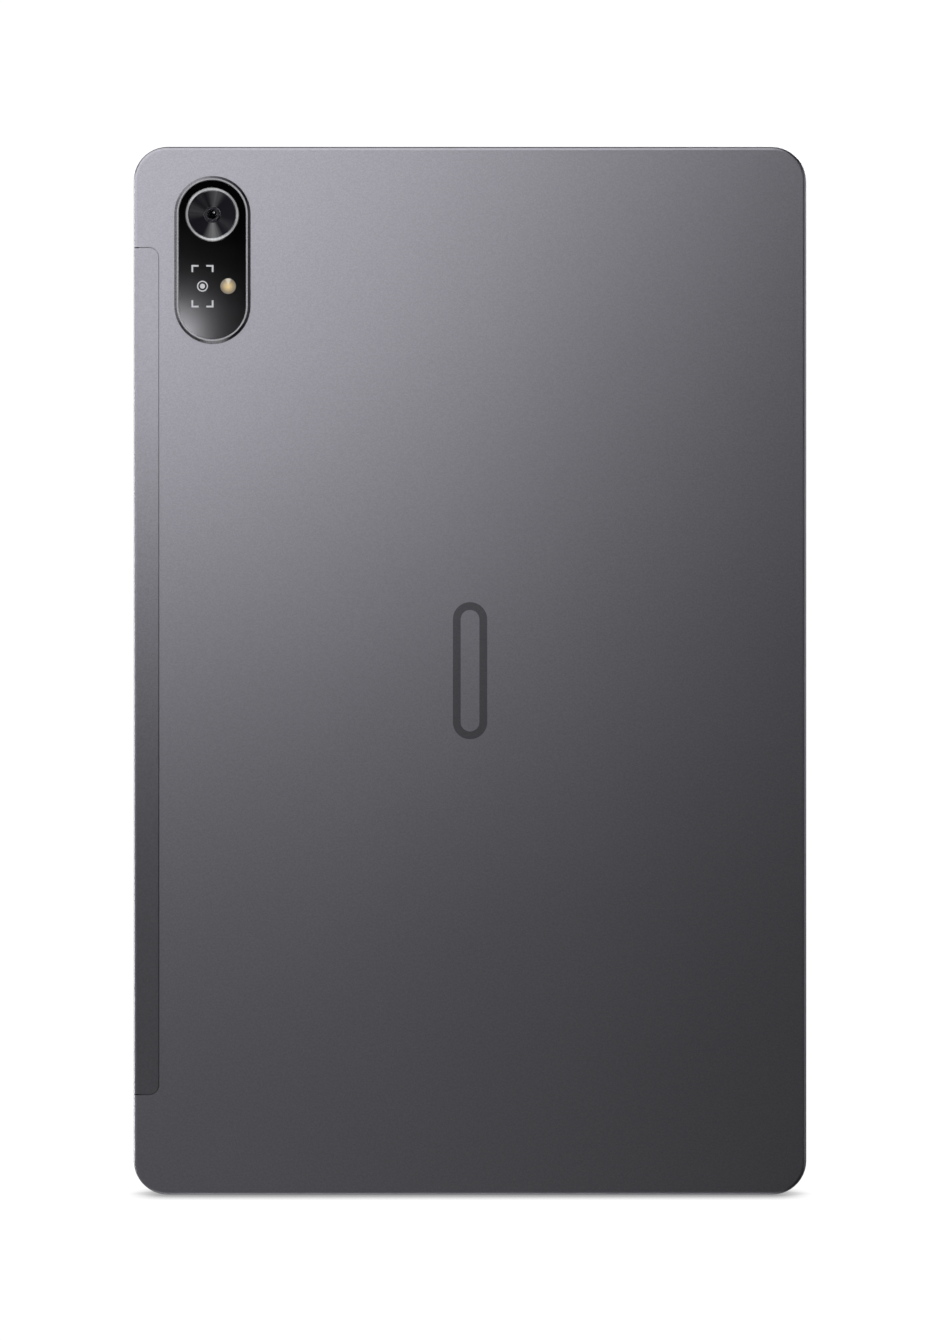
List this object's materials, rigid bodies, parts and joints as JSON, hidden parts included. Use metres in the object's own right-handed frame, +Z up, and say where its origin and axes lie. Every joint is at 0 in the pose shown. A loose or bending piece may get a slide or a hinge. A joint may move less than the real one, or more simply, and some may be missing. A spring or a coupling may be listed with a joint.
{
  "type": "tablet computer",
  "caption": "Slim tablet computer with a metal back, a pill-shaped camera island, side keys, a card tray and a full-face screen.",
  "frame": {"origin": "middle of the box round the tablet, on its bottom short edge", "axes": "+Z up along the long edge, +Y out of the screen, -Y out of the back, +X to the right as the back is seen"},
  "size_m": [0.165, 0.0088, 0.257],
  "materials": {
    "anodised_metal": "grey anodised, fine blasted, satin",
    "key_metal": "grey anodised, fine blasted, satin",
    "antenna_plastic": "painted to match the metal, satin",
    "bezel_plastic": "black, fine texture",
    "screen_glass": "clear, polished",
    "border_ink": "black print behind glass",
    "display_panel": "dark panel with polariser",
    "foam_tape": "black foam tape",
    "tray_steel": "thin stainless sheet",
    "clear_acrylic": "clear acrylic",
    "diffuser_film": "white film stack",
    "led_strip": "white board with phosphor LEDs",
    "plate_metal": "stamped sheet",
    "battery_wrap": "laminated pouch, dark grey",
    "white_tape": "double-sided tape",
    "circuit_board": "green solder mask",
    "flex_polyimide": "amber polyimide",
    "black_flex": "black covered flex",
    "shield_steel": "tinned sheet",
    "chip_epoxy": "black moulded epoxy",
    "thermal_paste": "soft grey pad",
    "graphite": "pressed graphite",
    "port_steel": "nickel-plated steel",
    "port_plastic": "black moulding",
    "switch_metal": "silver-plated dome and case",
    "speaker_plastic": "black moulding",
    "mesh_fabric": "fine black woven mesh",
    "microphone_metal": "gold-plated can",
    "island_metal": "grey anodised, bevelled",
    "camera_glass": "black glossy window",
    "ring_metal": "bright turned aluminium",
    "dial_metal": "dark, turned in circles",
    "lens_glass": "coated glass",
    "barrel_plastic": "black moulding with coated lens",
    "flash_plastic": "frosted clear over warm phosphor",
    "module_metal": "dark stamped can",
    "antenna_copper": "copper foil",
    "cable_jacket": "black jacket",
    "screw_steel": "zinc-plated"
  },
  "bodies": {
    "chassis": {"rear_shell": "anodised_metal", "antenna_window": "antenna_plastic", "bezel_frame": "bezel_plastic", "cover_glass": "screen_glass", "border_ink": "border_ink", "display_adhesive": "foam_tape", "lcd_panel": "display_panel", "backlight_tray": "tray_steel", "light_guide": "clear_acrylic", "backlight_led_bar": "led_strip", "diffuser_films": "diffuser_film", "mid_plate": "plate_metal", "battery_cell_left": "battery_wrap", "battery_cell_right": "battery_wrap", "battery_tape": "white_tape", "battery_protection_board": "circuit_board", "battery_flex": "flex_polyimide", "main_board": "circuit_board", "processor_shield": "shield_steel", "power_shield": "shield_steel", "board_chips": "chip_epoxy", "thermal_pad": "thermal_paste", "graphite_sheet": "graphite", "sub_board": "circuit_board", "usb_c_sleeve": "port_steel", "usb_c_tongue": "port_plastic", "main_flex": "black_flex", "display_flex": "flex_polyimide", "front_camera_flex": "flex_polyimide", "key_switches": "switch_metal", "key_flex": "flex_polyimide", "key_brackets": "tray_steel", "card_socket": "port_steel", "speaker_top_left": "speaker_plastic", "speaker_top_right": "speaker_plastic", "speaker_bottom_left": "speaker_plastic", "speaker_bottom_right": "speaker_plastic", "speaker_meshes": "mesh_fabric", "microphones": "microphone_metal", "camera_frame": "island_metal", "camera_window": "camera_glass", "flash_lens": "flash_plastic", "flash_led": "flex_polyimide", "lens_ring": "ring_metal", "lens_dial": "dial_metal", "lens_cover_glass": "lens_glass", "camera_housing": "module_metal", "camera_sensor_board": "flex_polyimide", "front_camera": "module_metal", "antenna_foils": "antenna_copper", "antenna_cables": "cable_jacket", "board_screws": "screw_steel", "speaker_screws": "screw_steel", "mid_plate_screws": "screw_steel"},
    "power_key": {"power_button": "key_metal"},
    "volume_key": {"volume_rocker": "key_metal"},
    "card_carrier": {"card_tray": "key_metal"},
    "ejector_rod": {"eject_rod": "port_steel"},
    "ejector_lever": {"eject_lever": "port_steel"},
    "autofocus_barrel": {"focus_barrel": "barrel_plastic"}
  },
  "joints": [
    {"name": "power_key_press", "type": "slide", "parent": "chassis", "child": "power_key", "axis": [0, 0, -1], "range_m": [0, 0.00025], "stiffness_N_per_m": 4000},
    {"name": "volume_key_rock", "type": "hinge", "parent": "chassis", "child": "volume_key", "pos_m": [-0.0812, -0.00005, 0.217], "axis": [0, 1, 0], "range_deg": [-1.3, 1.3], "stiffness_Nm_per_rad": 0.5},
    {"name": "card_tray_slide", "type": "slide", "parent": "chassis", "child": "card_carrier", "axis": [0, 0, 1], "range_m": [0, 0.02]},
    {"name": "eject_rod_press", "type": "slide", "parent": "chassis", "child": "ejector_rod", "axis": [0, 0, -1], "range_m": [0, 0.001]},
    {"name": "eject_lever_turn", "type": "hinge", "parent": "chassis", "child": "ejector_lever", "pos_m": [-0.0006, -0.00115, 0.2354], "axis": [0, 1, 0], "range_deg": [0, 23]},
    {"name": "autofocus_travel", "type": "slide", "parent": "chassis", "child": "autofocus_barrel", "axis": [0, -1, 0], "range_m": [0, 0.00025], "stiffness_N_per_m": 100}
  ],
  "couplings": [
    {"joint": "eject_lever_turn", "follows": "eject_rod_press", "rad_per_m": 392.7}
  ]
}
